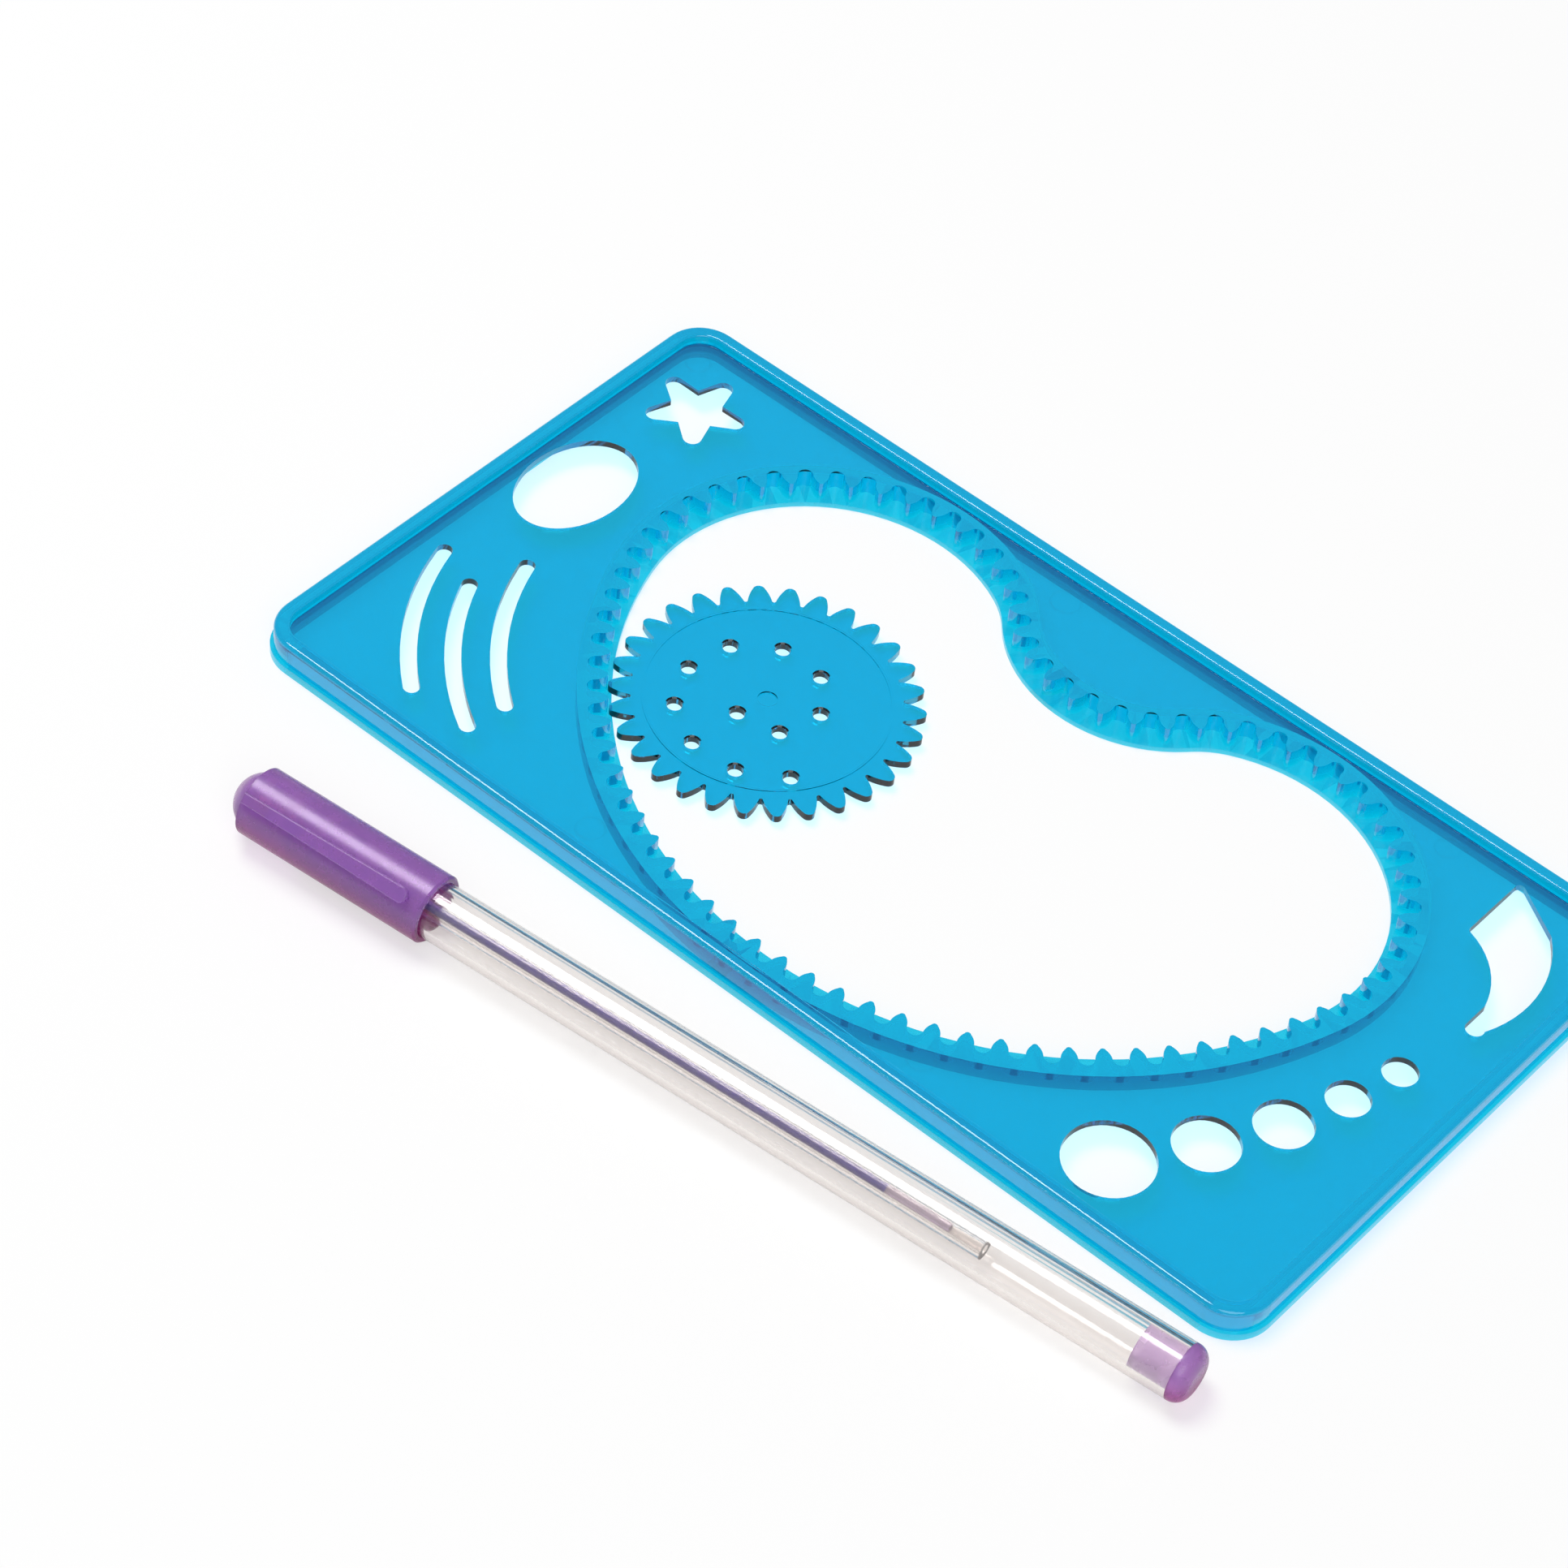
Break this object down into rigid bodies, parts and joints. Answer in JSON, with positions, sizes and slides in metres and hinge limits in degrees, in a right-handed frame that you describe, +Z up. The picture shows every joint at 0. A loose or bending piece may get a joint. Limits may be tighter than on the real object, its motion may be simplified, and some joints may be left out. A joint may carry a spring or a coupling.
{
  "type": "spiral drawing set",
  "caption": "Moulded stencil plate with a toothed kidney-shaped opening, a loose gear wheel with pen holes, and a capped stick pen.",
  "frame": {"origin": "centre of the set's bounding box at table height", "axes": "+X along the plate towards the pen's plugged end, +Y from the pen to the plate, +Z up"},
  "size_m": [0.1697, 0.1194, 0.01],
  "materials": {
    "blue_plastic": "gloss moulded, translucent",
    "clear_plastic": "clear extruded",
    "violet_plastic": "gloss moulded, translucent",
    "violet_ink": "wet",
    "ink_grease": "clear gel with ink traces",
    "natural_plastic": "natural moulded",
    "brass": "turned",
    "ball_steel": "polished"
  },
  "bodies": {
    "plate": {"stencil_plate": "blue_plastic"},
    "gear": {"gear_wheel": "blue_plastic"},
    "pen": {"pen_barrel": "clear_plastic", "end_plug": "violet_plastic", "tip_holder": "natural_plastic", "metal_point": "brass", "refill_tube": "clear_plastic", "ink_column": "violet_ink", "ink_follower": "ink_grease"},
    "cap": {"pen_cap": "violet_plastic"},
    "ball": {"writing_ball": "ball_steel"}
  },
  "joints": [
    {"name": "gear_spin", "type": "hinge", "parent": "plate", "child": "gear", "pos_m": [-0.0281, 0.00981, 0.00083], "axis": [0, 0, 1], "continuous": true},
    {"name": "pen_lift", "type": "slide", "parent": "plate", "child": "pen", "axis": [0, 0, 1], "range_m": [0, 0.06]},
    {"name": "cap_pull", "type": "slide", "parent": "pen", "child": "cap", "axis": [-0.9956, -0.0932, 0.0079], "range_m": [0, 0.045]},
    {"name": "ball_roll", "type": "hinge", "parent": "pen", "child": "ball", "pos_m": [-0.06115, -0.05487, 0.00513], "axis": [-0.0932, 0.9956, 0], "continuous": true}
  ]
}
